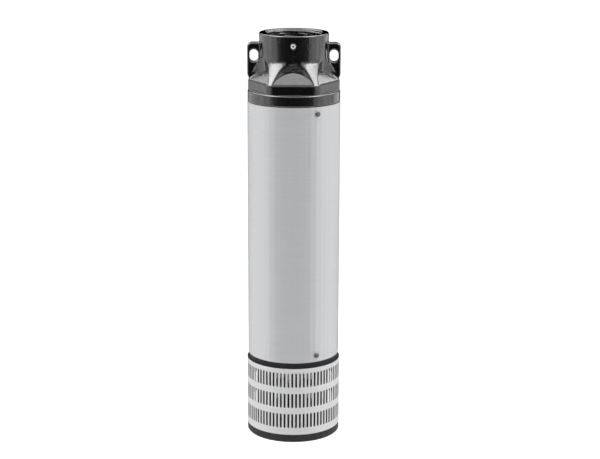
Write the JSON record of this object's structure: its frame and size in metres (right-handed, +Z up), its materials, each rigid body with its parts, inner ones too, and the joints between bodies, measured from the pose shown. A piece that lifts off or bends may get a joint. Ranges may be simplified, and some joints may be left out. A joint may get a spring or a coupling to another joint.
{
  "type": "borehole submersible pump",
  "caption": "Upright multistage pump end for a borehole: ported head with rope ears, steel shell, slotted strainer and motor flange, with turning rotor and check valve.",
  "frame": {"origin": "centre of the underside of the motor flange", "axes": "+Z up the pump axis towards the discharge, -Y towards the viewer of the picture, rope ears at -X and +X"},
  "size_m": [0.0982, 0.0982, 0.4267],
  "materials": {
    "cast_iron_black": "gloss black coated casting",
    "stainless_satin": "satin stainless tube",
    "stainless_sheet": "pale matt stainless sheet",
    "shaft_steel": "turned steel",
    "stage_polymer": "moulded glass-filled polymer",
    "seal_rubber": "matt black rubber",
    "valve_brass": "machined brass"
  },
  "bodies": {
    "housing": {"suction_bracket": "cast_iron_black", "strainer": "stainless_sheet", "pump_shell": "stainless_satin", "lower_shell_screw": "stainless_satin", "upper_shell_screw": "stainless_satin", "strainer_screw_right": "stainless_satin", "strainer_screw_left": "stainless_satin", "bearing_spider": "cast_iron_black", "lower_bush": "seal_rubber", "upper_bush": "seal_rubber", "valve_seat": "valve_brass", "valve_guide": "valve_brass", "valve_spring": "shaft_steel", "discharge_head": "cast_iron_black", "riser_lock_screw": "stainless_satin", "diffuser_bowl_1": "stage_polymer", "neck_ring_1": "seal_rubber", "diffuser_bowl_2": "stage_polymer", "neck_ring_2": "seal_rubber", "diffuser_bowl_3": "stage_polymer", "neck_ring_3": "seal_rubber"},
    "rotor": {"shaft": "shaft_steel", "coupling": "shaft_steel", "coupling_pin": "shaft_steel", "shaft_washer": "shaft_steel", "shaft_nut": "shaft_steel", "impeller_1": "stainless_satin", "impeller_2": "stainless_satin", "impeller_3": "stainless_satin", "spacer_sleeve_0": "shaft_steel", "spacer_sleeve_1": "shaft_steel", "spacer_sleeve_2": "shaft_steel", "spacer_sleeve_3": "shaft_steel"},
    "check_valve": {"valve_poppet": "valve_brass", "valve_seal": "seal_rubber"}
  },
  "joints": [
    {"name": "rotor_spin", "type": "hinge", "parent": "housing", "child": "rotor", "pos_m": [0, 0, 0.2], "axis": [0, 0, 1], "continuous": true},
    {"name": "valve_lift", "type": "slide", "parent": "housing", "child": "check_valve", "axis": [0, 0, 1], "range_m": [0, 0.008], "stiffness_N_per_m": 200, "springref_m": -0.004, "deforming": ["valve_spring"]}
  ]
}
